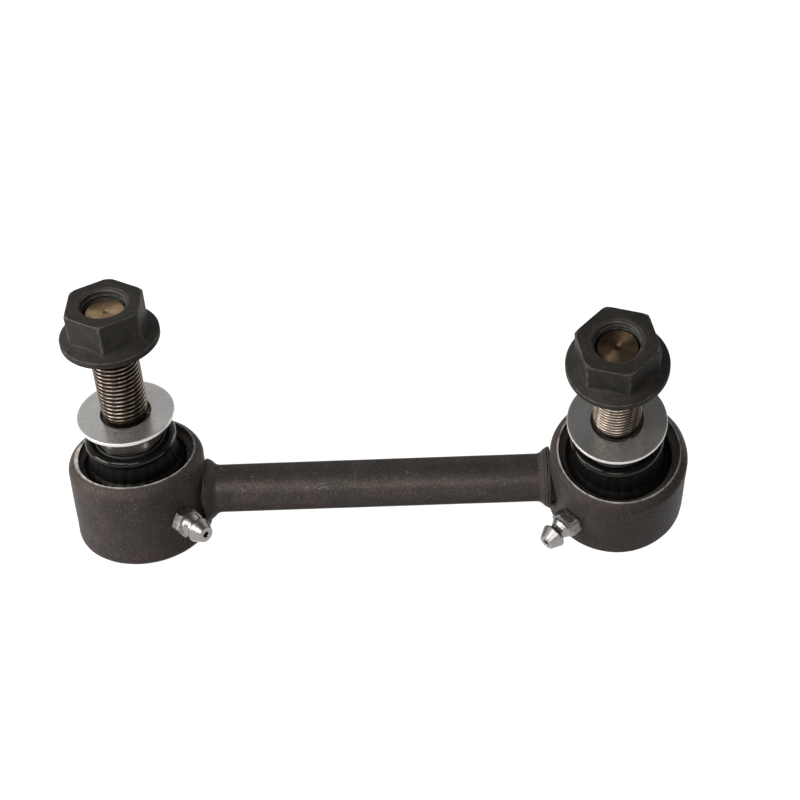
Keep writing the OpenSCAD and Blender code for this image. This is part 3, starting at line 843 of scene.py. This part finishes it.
class LINK_OT_ball_studs(Operator):
    """Ball, neck, boot seat, hexagon and thread of each stud"""

    bl_idname = "link.ball_studs"
    bl_label = "Ball studs"

    BRONZE_SLOT, FACE_SLOT = 1, 2
    ENDS = {"left": stud_face, "right": brown_stud_face}
    COLUMNS, ROWS_PER_TURN = 120, 14

    def execute(self, context):
        for side in SIDES:
            skin = Skin()
            self.ball_and_neck(skin)
            self.hexagon(skin, COLLAR_TURN[side])
            self.thread(skin)
            self.end_face(skin)
            place(f"{side}_stud", skin, stud_frame(side), [collar_steel, thread_bronze, self.ENDS[side]],
                  f"{side}_stud", f"{side}_ball_stud")
        return {"FINISHED"}

    def ball_and_neck(self, skin):
        meet = math.degrees(math.acos(NECK_R / BALL_R))
        path = arc(0, 0, BALL_R, -90, meet, 40)
        path += rounded([path[-1], (NECK_R, NECK_LEN, 1.0), (BOOT_SEAT_R, BOOT_SEAT_BOTTOM, 0.6),
                         (BOOT_SEAT_R, COLLAR_BOTTOM)])[1:]
        skin.add(polar(*turn(fine(path, 0.8))))

    def hexagon(self, skin, turned):
        path = [(BOOT_SEAT_R, COLLAR_BOTTOM), *chamfered(COLLAR_AF, COLLAR_BOTTOM, COLLAR_TOP, 0.4),
                (UNDERCUT_R, COLLAR_TOP)]
        r, z, th = turn(fine(path, 0.1))
        six = hexagon_r(th, COLLAR_AF, turned, 0.35)
        near = np.clip(1 - np.abs(r - six) / 0.35, 0, 1) * (r < six + 0.2)
        worn = np.maximum(near * 0.6, corner_wear(six, COLLAR_AF, 1.6, 0.75))
        skin.add(polar(soft_min(r, six, 0.12), z, th), worn)

    def thread(self, skin):
        pitch, depth = thread_size()
        heights = np.linspace(COLLAR_TOP, STUD_END, int((STUD_END - COLLAR_TOP) / pitch * self.ROWS_PER_TURN))
        outline = [(COLLAR_TOP, UNDERCUT_R), (COLLAR_TOP + 0.9, UNDERCUT_R), (THREAD_START, THREAD_R - 0.4),
                   (THREAD_START + 2 * pitch, THREAD_R), (STUD_END - 1, THREAD_R - 0.02),
                   (STUD_END, END_FACE_R)]
        r, z, th = turn(np.stack([np.interp(heights, *zip(*outline)), heights], -1), self.COLUMNS)
        r = np.minimum(r, THREAD_R - depth * thread_dip(z, th, pitch))
        # the depth into the groove, kept for the painted shade in the roots
        skin.add(polar(r, z, th), np.clip((THREAD_R - r) / depth, 0, 1), self.BRONZE_SLOT)

    def end_face(self, skin):
        path = [(END_FACE_R, STUD_END), (0.9, STUD_END), (0.55, STUD_END - 0.12), (0, STUD_END - 0.4)]
        skin.add(polar(*turn(fine(path, 0.35), self.COLUMNS)), slot=self.FACE_SLOT)


class LINK_OT_boots(Operator):
    """Rubber boots, whose upper part is shaped to the stud's lean as it stands"""

    bl_idname = "link.boots"
    bl_label = "Boots"

    PLEATS, PLEAT_DEPTH, PLEAT_FADE = 26, 0.32, 1.5
    BENDS = (9.2, 16.2)
    LEANS = (9.0, 14.0)
    BEAD_LOW, BEAD_HIGH = BEAD_BOTTOM - BALL_Z + FIT_GAP, RING_BOTTOM - BALL_Z - FIT_GAP
    COLUMNS, WAVE_SEED = 288, 31

    def execute(self, context):
        for i, side in enumerate(SIDES):
            home = housing_frame(side) @ Matrix.Translation((0, 0, BALL_Z))
            p, worn = self.boot(self.WAVE_SEED + i)
            skin = Skin().add(self.leaned(p, home.inverted() @ stud_frame(side)), worn, ring=True)
            piece = place(f"{side}_dust_boot", skin, home, [boot_rubber],
                          None, f"{side}_boot", 60, False)
            start, end = (housing_frame(side) @ Vector((0, 0, BALL_Z + z)) for z in self.BENDS)
            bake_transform(piece)
        return {"FINISHED"}

    def outline(self):
        """Bead, throat, rolled rim, and the lip with the inside, which leads back to the bead."""
        low, high, lip_top = self.BEAD_LOW, self.BEAD_HIGH, RIM_D + RIM_R
        bead_r = COUNTERBORE_R - SOFT_GAP
        bead_in = bead_r - BEAD_W
        skirt = arc(0, 0, SKIRT_R, 34.6, math.degrees(math.acos(SKIRT_TOP_R / SKIRT_R)), 6)
        rim = arc(RIM_CENTRE, RIM_D, RIM_R, -58, 172, 30)
        bead = rounded([(12.0, low), (bead_r, low, 0.4), (bead_r, high, 0.4), (13.45, high, 0.25), skirt[0]])
        throat = rounded([*skirt, (11.75, 12.4, 1.0), (11.2, 16.4, 0.8), rim[0]])
        lip = rounded([rim[-1], (BOOT_LIP_OUT, RIM_D, 0.15), (BOOT_LIP_OUT, lip_top, 0.25),
                       (BOOT_LIP_R, lip_top, 0.2), (BOOT_LIP_R, WEB_D, 0.25), (9.8, WEB_D, 0.5),
                       (10.7, 10.6, 0.6), (11.8, high, 0.4), (bead_in, high - 0.2, 0.2),
                       (bead_in, low + 0.1)])
        return [fine(bead, 0.5)[:-1], fine(throat, 0.3), fine(rim, 0.3)[1:], fine(lip, 0.5)[1:]]

    def boot(self, seed):
        """Points of an upright boot, with pleats in its throat, and their place as wear."""
        parts = self.outline()
        r, z, th = turn(sum(parts, []), self.COLUMNS)
        pleated = np.repeat([0.0, 1.0, 0.0, 0.0], [len(p) for p in parts])[:, None]
        x, y, _ = np.moveaxis(polar(r, z, th), -1, 0)
        soft = waves(x * 1.3, y * 1.3, z * 0.6, seed)
        up, down = (z - self.BEAD_HIGH) / self.PLEAT_FADE, (RIM_D - RIM_R + 0.3 - z) / self.PLEAT_FADE
        along = np.clip(up, 0, 1) * np.clip(down, 0, 1)
        fold = 1 - np.abs(np.cos(th * self.PLEATS / 2 + 0.9 * soft))
        r = r - pleated * along * (self.PLEAT_DEPTH + 0.12 * soft) * fold
        r = r + 0.04 * soft * (1 - pleated) * (z > WEB_D)
        return polar(r, z, th), pleated * along

    def leaned(self, p, lean):
        """The points turned about the ball with the stud's lean, the more the higher they lie."""
        low, high = self.LEANS
        t = np.clip((p[..., 2:] - low) / (high - low), 0, 1)
        axis, angle = lean.to_quaternion().to_axis_angle()
        n = np.array(axis)
        a = angle * t * t * (3 - 2 * t)
        along = (p @ n)[..., None] * n
        return p * np.cos(a) + np.cross(n, p) * np.sin(a) + along * (1 - np.cos(a))


class LINK_OT_boot_fixings(Operator):
    """Pressed ring over each boot's bead and wire clip round its top"""

    bl_idname = "link.boot_fixings"
    bl_label = "Boot rings and clips"

    RING_DISH, RING_LIP = 0.43, 0.5

    def execute(self, context):
        inner, outer = COUNTERBORE_R - RING_W, COUNTERBORE_R - FIT_GAP
        mid, low, high = (inner + outer) / 2, RING_BOTTOM, RING_TOP - FIT_GAP
        path = rounded([(mid, low), (outer, low, 0.15), (outer, high, 0.15),
                        (MOUTH_R - self.RING_LIP, high, 0.4), (inner, low + self.RING_DISH, 0.2),
                        (inner, low, 0.1), (mid, low)])
        ring = polar(*turn(fine(path, 0.5)[:-1]))
        wire = polar(*turn(arc(CLIP_R - FIT_GAP, CLIP_D, CLIP_WIRE_R, 0, 360, 14)[:-1]))
        for side in SIDES:
            place(f"{side}_mouth_ring", Skin().add(ring, ring=True), housing_frame(side), [forged_coat],
                  "link", f"{side}_boot_ring")
            place(f"{side}_wire_clip", Skin().add(wire, ring=True), stud_frame(side), [black_ring],
                  f"{side}_boot_top", f"{side}_boot_clip")
        return {"FINISHED"}


class LINK_OT_washers(Operator):
    """Loose flat washers on the studs' hexagons"""

    bl_idname = "link.washers"
    bl_label = "Washers"

    COLUMNS, RIM_W = 192, 0.3

    def execute(self, context):
        low = COLLAR_TOP + FIT_GAP
        high = low + WASHER_T
        mid = (WASHER_R + WASHER_HOLE_R) / 2
        k = sizes().edge_round / MM
        path = rounded([(mid, low), (WASHER_R, low, k * 1.4), (WASHER_R, high, k), (WASHER_HOLE_R, high, k),
                        (WASHER_HOLE_R, low, k), (mid, low)], 5)
        r, z, th = turn(fine(path, 0.6)[:-1], self.COLUMNS)
        # band round the outer edge that carries the painted highlight
        rim = np.clip(1 - (WASHER_R - r) / self.RIM_W, 0, 1)
        for side in SIDES:
            place(f"{side}_flat_washer", Skin().add(polar(r, z, th), rim, ring=True), stud_frame(side),
                  [washer_zinc], f"{side}_washer", f"{side}_washer")
        return {"FINISHED"}


class LINK_OT_flange_nuts(Operator):
    """Hexagon nuts with a coned flange and a threaded bore"""

    bl_idname = "link.flange_nuts"
    bl_label = "Flange nuts"

    EDGE, CORNER_DROP, THREAD_SLACK = 0.13, 0.42, 0.17
    COLUMNS, ROWS_PER_TURN = 192, 16

    def execute(self, context):
        for side in SIDES:
            place(f"{side}_nut", self.nut(NUT_TURN[side]), stud_frame(side), [nut_phosphate],
                  f"{side}_nut", f"{side}_flange_nut")
        return {"FINISHED"}

    def nut(self, turned):
        """The closed skin: from the bore's foot under the flange, up the outside and down the bore."""
        foot = self.foot()
        wall, wall_worn = self.wall(turned)
        lid, lid_worn = self.lid(wall[0][-1:])
        bore, bore_crest_highlight = self.bore()
        p = np.concatenate([polar(*rows) for rows in (foot, wall, lid, bore)])
        worn = np.concatenate([np.zeros_like(foot[0]), wall_worn, lid_worn, bore_crest_highlight])
        return Skin().add(p + np.array([0, 0, NUT_BOTTOM]), worn, ring=True)

    def foot(self):
        path = rounded([(NUT_BORE_R + 0.02, 0.62), (NUT_BORE_R + 0.6, 0, 0.1), (FLANGE_R, 0, 0.45),
                        (FLANGE_R, FLANGE_T - 0.05)], 5)
        return turn(fine(path, 0.5), self.COLUMNS)

    def wall(self, turned):
        edge = self.EDGE
        heights = np.concatenate([FLANGE_T + np.linspace(0, 2.4, 40),
                                  np.linspace(FLANGE_T + 2.5, NUT_H - 0.8, 10),
                                  np.linspace(NUT_H - 0.7, NUT_H - edge - 0.03, 14),
                                  NUT_H - edge + edge * np.sin(np.linspace(0, math.pi / 2, 7))])
        _, z, th = upright(heights, self.COLUMNS)
        six = hexagon_r(th, NUT_AF, turned, 0.14)
        cone = FLANGE_R - (z - FLANGE_T) / math.tan(math.radians(FLANGE_SLOPE))
        top = TURNED_R + (NUT_H - z) * (hexagon_corner(NUT_AF) - TURNED_R) / self.CORNER_DROP
        body = soft_max(six, np.maximum(cone, 0), 0.55)
        r = soft_min(soft_min(body, np.full_like(body, FLANGE_R), 0.12), top, 0.1)
        over = np.clip((z - NUT_H + edge) / edge, 0, 1)
        r = r - edge * (1 - np.sqrt(1 - over ** 2))
        corners = corner_wear(six, NUT_AF, 4, 3.2) * (z > FLANGE_T + 1.4)
        near_top = np.clip(1 - (NUT_H - z) / 0.28, 0, 1)
        rim = np.clip(1 - np.abs(r - FLANGE_R + 0.1) / 0.3, 0, 1) * (z > FLANGE_T)
        return (r, z, th), np.maximum.reduce([corners, near_top, rim])

    def lid(self, outer):
        path = rounded([(TURNED_R - self.EDGE, NUT_H), (MOUTH_TURNED_R, NUT_H, 0.08),
                        (MOUTH_TURNED_R - 0.08, NUT_H - 0.08)], 4)
        r, z, th = turn(fine(path, 0.3), self.COLUMNS)
        r = np.minimum(r, outer)
        return (r, z, th), np.clip(1 - np.abs(r - MOUTH_TURNED_R) / 0.25, 0, 1) * 0.35

    def bore(self):
        pitch, depth = thread_size()
        r, z, th = upright(np.arange(NUT_H - 0.1, 0.65, -pitch / self.ROWS_PER_TURN), self.COLUMNS)
        for shift in (-self.THREAD_SLACK, 0.0, self.THREAD_SLACK):
            stud = THREAD_R - depth * thread_dip(z + NUT_BOTTOM + shift, th, pitch)
            r = np.maximum(r, stud + NUT_GAP)
        # painted highlight: the crests of the bore's thread painted paler
        worn = np.clip((THREAD_R - 0.1 - r) / 0.5, 0, 1) * 0.6
        return (np.maximum(r, MOUTH_TURNED_R - (NUT_H - z)), z, th), worn


class LINK_OT_grease_fittings(Operator):
    """Grease fittings with their check balls"""

    bl_idname = "link.grease_fittings"
    bl_label = "Grease fittings"

    TIP_HOLE_R, PASSAGE_R, FEED_R = 0.74, 1.3, 0.8
    COLUMNS, BALL_COLUMNS = 96, 48

    def execute(self, context):
        ball = [(r, z + CHECK_BALL_S) for r, z in arc(0, 0, CHECK_BALL_R, -90, 90, 20)]
        ball[0], ball[-1] = (0, ball[0][1]), (0, ball[-1][1])
        for side in SIDES:
            at = fitting_frame(side)
            place(f"{side}_nipple", self.nipple(), at, [fitting_nickel],
                  "link", f"{side}_grease_fitting")
            place(f"{side}_valve_ball", Skin().add(polar(*turn(ball, self.BALL_COLUMNS))), at,
                  [fitting_nickel], f"{side}_check", f"{side}_check_ball")
        return {"FINISHED"}

    def nipple(self):
        hole, passage, feed = self.TIP_HOLE_R, self.PASSAGE_R, self.FEED_R
        trimmed = chamfered(FITTING_AF, 0, FITTING_HEX_H, 0.35)
        base = fine([(FITTING_SHANK_R, -FITTING_SHANK_LEN), (FITTING_SHANK_R, 0), *trimmed], 0.08)
        head = rounded([trimmed[-1], (3.0, FITTING_HEX_H + 0.02, 0.1), (2.95, 3.7, 0.5), (2.3, 4.75, 0.7),
                        (2.2, 5.55, 0.3), (2.6, 5.95, 0.2), (3.25, 6.25, 0.22), (3.35, 6.7, 0.3),
                        (2.12, FITTING_LEN - 0.1, 0.08), (1.98, FITTING_LEN, 0.04), (0.92, FITTING_LEN, 0.06),
                        (hole, FITTING_LEN - 0.2)], 5)[1:]
        bore = [(hole, 8.85), (1.0, 8.6), (passage, 8.4), (passage, -2.4), (feed, -2.45),
                (feed, -FITTING_SHANK_LEN)]
        path = base + fine(head, 0.2) + fine(bore, 0.4)
        r, z, th = turn(path, self.COLUMNS)
        on_base = (np.arange(len(path)) < len(base))[:, None]
        six = hexagon_r(th, FITTING_AF, 0, 0.18)
        r = np.where(on_base & (z >= 0), soft_min(r, six, 0.08), r)
        # the mouth of the tip's hole, which the finish darkens with painted shade
        shaded = np.clip(1 - (r - hole) / 0.2, 0, 1) * (z > 8.3) * ~on_base
        return Skin().add(polar(r, z, th), shaded, ring=True)


class LINK_OT_inner_parts(Operator):
    """Finishes of the parts inside the housings and the grease fittings"""

    bl_idname = "link.inner_parts"
    bl_label = "Inner parts"

    INSIDE = {"check_spring": spring_wire, "ball_seat": sintered_bearing, "upper_bearing": sintered_bearing,
              "preload_spring": spring_wire, "closing_ring": black_ring}

    def execute(self, context):
        for side in SIDES:
            for part, maker in self.INSIDE.items():
                data = frame["nodes"][f"{side}_{part}"].data
                data.materials.clear()
                data.materials.append(finish(maker))
        return {"FINISHED"}


class LINK_OT_stage(Operator):
    """White floor, studio light and the camera"""

    bl_idname = "link.stage"
    bl_label = "Stage"

    # Place, size and power of each lamp, in metres and watts.
    LAMPS = {
        "key": ((-0.25, -0.105, 0.15), 0.17, 1.12),
        "front": ((-0.14, -0.27, 0.31), 0.2, 1.05),
        "fill": ((0.06, -0.42, 0.22), 0.18, 0.7),
        "back": ((0.40, 0.26, 0.05), 0.2, 0.7),
    }
    AIM = Vector((0.04, 0, 0.02))
    FLOOR_REACH, FLOOR_TILES, FLOOR_DROP = 3.0, 24, 0.00002
    FLOOR_BOUNCE, FLOOR_GLOW, GLOW_SHARE = (0.14, 0.14, 0.14), 1.3, 0.76

    def execute(self, context):
        scene = context.scene
        scene.view_settings.view_transform = "Standard"
        self.camera(scene)
        self.floor(scene)
        self.sky(scene)
        for name, (at, size, power) in self.LAMPS.items():
            self.lamp(scene, name, Vector(at), size, power)
        return {"FINISHED"}

    def camera(self, scene):
        data = bpy.data.cameras.new("camera")
        data.lens, data.sensor_width = CAMERA_LENS, CAMERA_SENSOR
        data.sensor_fit = "AUTO"
        data.clip_start, data.clip_end = 0.01, 50.0
        x = Vector(CAMERA_RIGHT).normalized()
        z = x.cross(Vector(CAMERA_UP)).normalized()
        camera = bpy.data.objects.new("camera", data)
        camera.matrix_world = axes_matrix(x, z.cross(x), z, Vector(CAMERA_AT) * MM)
        scene.collection.objects.link(camera)
        scene.camera = camera

    def floor(self, scene):
        """A pale sheet that touches both housings' bases."""
        mesh = bpy.data.meshes.new("floor")
        n = self.FLOOR_TILES
        a = np.linspace(-self.FLOOR_REACH, self.FLOOR_REACH, n + 1)
        points = [(x, y, 0.0) for y in a for x in a]
        faces = [(j * (n + 1) + i, j * (n + 1) + i + 1, (j + 1) * (n + 1) + i + 1, (j + 1) * (n + 1) + i)
                 for j in range(n) for i in range(n)]
        mesh.from_pydata(points, [], faces)
        mesh.materials.append(self.floor_finish())
        floor = bpy.data.objects.new("floor", mesh)
        right_x = CENTRE_DISTANCE * MM
        left_x = -(BASE_R - BASE_ROUND) * MM
        tilt = math.atan2(-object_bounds()[0].z, right_x - left_x)
        floor.matrix_world = Matrix.Translation((left_x, 0, -self.FLOOR_DROP)) @ Matrix.Rotation(tilt, 4, "Y")
        scene.collection.objects.link(floor)
        floor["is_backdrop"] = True

    def seen(self, n):
        """1 for what the camera, a reflection or glass sees directly, and 0 for light that bounces."""
        path = n.node("ShaderNodeLightPath")
        total = path.outputs["Is Camera Ray"]
        for name in ("Is Glossy Ray", "Is Transmission Ray"):
            total = n.math("MAXIMUM", total, path.outputs[name])
        return total

    def floor_finish(self):
        """White where it is seen, and a darker grey for the light that it throws back."""
        made = bpy.data.materials.new("pale floor")
        made.use_nodes = True
        made.node_tree.nodes.clear()
        n = Nodes(made.node_tree)
        seen = self.seen(n)
        paint = n.node("ShaderNodeBsdfDiffuse")
        n.link(n.mix(seen, self.FLOOR_BOUNCE, colours().floor), paint.inputs["Color"])
        glow = n.node("ShaderNodeEmission")
        glow.inputs["Strength"].default_value = self.FLOOR_GLOW
        both = n.node("ShaderNodeMixShader")
        n.link(n.math("MULTIPLY", seen, self.GLOW_SHARE), both.inputs[0])
        n.link(paint.outputs[0], both.inputs[1])
        n.link(glow.outputs[0], both.inputs[2])
        n.link(both.outputs[0], n.node("ShaderNodeOutputMaterial").inputs["Surface"])
        return made

    def sky(self, scene):
        """White round the horizon and up the back, dim overhead and in front, less light from the right."""
        world = bpy.data.worlds.new("studio")
        world.use_nodes = True
        scene.world = world
        n = Nodes(world.node_tree)
        split = n.node("ShaderNodeSeparateXYZ")
        n.link(n.node("ShaderNodeTexCoord").outputs["Generated"], split.inputs[0])
        x, y, z = split.outputs
        seen = self.seen(n)
        horizon = n.ease(z, 0.05, 0.2, 1.0, 0.0)
        wall = n.math("MULTIPLY", n.ease(y, -0.1, 0.45), n.ease(z, 0.62, 0.92, 1.0, 0.0))
        dim = n.ease(seen, 0.0, 1.0, 0.32, 0.12)
        light = n.math("MAXIMUM", n.math("MAXIMUM", horizon, wall), dim)
        side = n.math("MAXIMUM", n.ease(x, 0.1, 0.8, 1.0, 0.2), seen)
        level = n.ease(seen, 0.0, 1.0, 0.38, 1.0)
        back = n.first("BACKGROUND")
        n.link(n.math("MULTIPLY", n.math("MULTIPLY", light, side), level), back.inputs["Strength"])
        back.inputs["Color"].default_value = (1, 1, 1, 1)

    def lamp(self, scene, name, at, size, power):
        data = bpy.data.lights.new(name, "AREA")
        data.shape, data.size, data.energy = "SQUARE", size, power
        lamp = bpy.data.objects.new(name, data)
        lamp.location = at
        lamp.rotation_mode = "QUATERNION"
        lamp.rotation_quaternion = (self.AIM - at).to_track_quat("-Z", "Y")
        scene.collection.objects.link(lamp)


class LINK_PT_panel(Panel):
    """Sizes, colours and pieces of the stabilizer link"""

    bl_idname = "LINK_PT_panel"
    bl_label = "Stabilizer link"
    bl_space_type = "VIEW_3D"
    bl_region_type = "UI"
    bl_category = "Stabilizer link"

    def draw(self, context):
        layout = self.layout
        for group in (context.scene.link_sizes, context.scene.link_colours):
            box = layout.box()
            for name in group.__annotations__:
                box.prop(group, name)
        for operator in OPERATORS:
            layout.operator(operator.bl_idname)


OPERATORS = (
    LINK_OT_rod, LINK_OT_housings, LINK_OT_weld_flash, LINK_OT_ball_studs, LINK_OT_boots,
    LINK_OT_boot_fixings, LINK_OT_washers, LINK_OT_flange_nuts, LINK_OT_grease_fittings,
    LINK_OT_inner_parts, LINK_OT_stage,
)
CLASSES = (LinkSizes, LinkColours, *OPERATORS, LINK_PT_panel)


def register():
    for c in CLASSES:
        bpy.utils.register_class(c)
    bpy.types.Scene.link_sizes = PointerProperty(type=LinkSizes)
    bpy.types.Scene.link_colours = PointerProperty(type=LinkColours)


def unregister():
    del bpy.types.Scene.link_colours
    del bpy.types.Scene.link_sizes
    for c in reversed(CLASSES):
        bpy.utils.unregister_class(c)


def main():
    register()
    bpy.ops.link.rod()
    bpy.ops.link.housings()
    bpy.ops.link.weld_flash()
    bpy.ops.link.ball_studs()
    bpy.ops.link.boots()
    bpy.ops.link.boot_fixings()
    bpy.ops.link.washers()
    bpy.ops.link.flange_nuts()
    bpy.ops.link.grease_fittings()
    bpy.ops.link.inner_parts()
    bpy.ops.link.stage()


if __name__ == "__main__":
    main()
